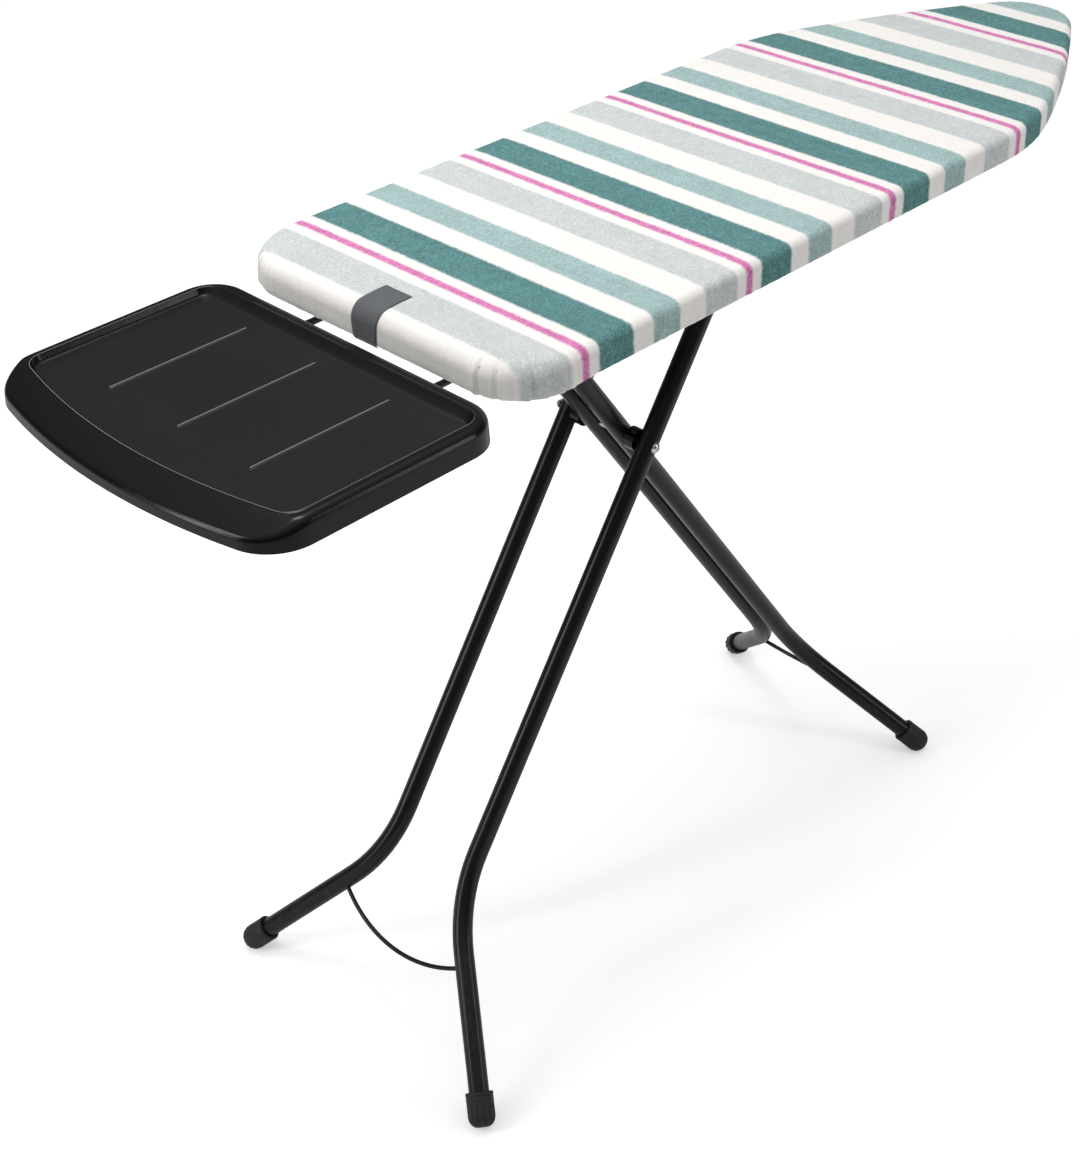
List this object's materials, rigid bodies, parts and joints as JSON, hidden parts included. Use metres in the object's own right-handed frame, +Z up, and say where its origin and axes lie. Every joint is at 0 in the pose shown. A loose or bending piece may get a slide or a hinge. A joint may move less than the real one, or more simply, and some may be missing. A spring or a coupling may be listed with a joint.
{
  "type": "ironing board",
  "caption": "Folding ironing board: tapered padded deck with a cotton cover on scissor tube legs with splayed feet, and a tray at the heel for a steam iron.",
  "frame": {"origin": "on the floor, under the middle of the object's box in plan", "axes": "+X from the heel with the iron rest to the nose, +Y to the left side, +Z up"},
  "size_m": [1.5786, 0.4728, 0.9863],
  "materials": {
    "black_powder": "satin black powder coat",
    "zinc_steel": "zinc plated",
    "bright_steel": "bright plated",
    "tray_plastic": "fine satin texture",
    "nylon": "natural moulded",
    "foot_rubber": "ribbed matt",
    "felt": "needled felt",
    "printed_cotton": "woven cotton with a watercolour stripe print",
    "tab_cloth": "woven tape"
  },
  "bodies": {
    "board": {"deck_sheet": "zinc_steel", "rim_heel": "black_powder", "rim_side_left": "black_powder", "rim_side_right": "black_powder", "rim_toe_left": "black_powder", "rim_toe_right": "black_powder", "brace_end": "black_powder", "brace_hinge": "black_powder", "brace_mid": "black_powder", "brace_toe": "black_powder", "rail_left": "black_powder", "rail_right": "black_powder", "hinge_bracket_left": "black_powder", "hinge_bracket_right": "black_powder", "frame_rivets": "zinc_steel", "pad": "felt", "cover": "printed_cotton", "label_tab": "tab_cloth", "rest_tray": "tray_plastic", "rest_rod_left": "black_powder", "rest_rod_right": "black_powder", "rod_saddles": "nylon", "tray_clamps": "tray_plastic", "tray_screws": "bright_steel", "catch_hanger_front": "black_powder", "catch_hanger_rear": "black_powder", "catch_spring": "zinc_steel"},
    "height_catch": {"catch_shaft": "zinc_steel", "catch_comb": "zinc_steel", "catch_arm": "zinc_steel", "catch_grip": "tray_plastic"},
    "inner_legs": {"inner_leg_left": "black_powder", "inner_leg_right": "black_powder", "inner_foot_left": "foot_rubber", "inner_foot_right": "foot_rubber", "inner_stretcher": "black_powder", "inner_axle": "zinc_steel", "axle_caps": "tray_plastic", "bridge_plate": "black_powder"},
    "outer_legs": {"outer_leg_left": "black_powder", "outer_leg_right": "black_powder", "outer_foot_left": "foot_rubber", "outer_foot_right": "foot_rubber", "outer_stretcher": "black_powder", "crossbar": "zinc_steel", "glide_left": "nylon", "glide_right": "nylon", "pivot_bolt": "bright_steel", "pivot_nut": "bright_steel", "pivot_spacer_left": "tray_plastic", "pivot_spacer_right": "tray_plastic"}
  },
  "joints": [
    {"name": "leg_fold", "type": "hinge", "parent": "board", "child": "inner_legs", "pos_m": [-0.25973, 0, 0.93], "axis": [0, -1, 0], "range_deg": [0, 51]},
    {"name": "leg_cross", "type": "hinge", "parent": "inner_legs", "child": "outer_legs", "pos_m": [-0.09179, 0, 0.6929], "axis": [0, 1, 0], "range_deg": [0, 103.3]},
    {"name": "catch_squeeze", "type": "hinge", "parent": "board", "child": "height_catch", "pos_m": [0.43371, -0.044, 0.944], "axis": [1, 0, 0], "range_deg": [-8, 8], "stiffness_Nm_per_rad": 3, "springref_deg": 3.44}
  ],
  "couplings": [
    {"joint": "leg_cross", "follows": "leg_fold", "ratio": 2.0234}
  ]
}
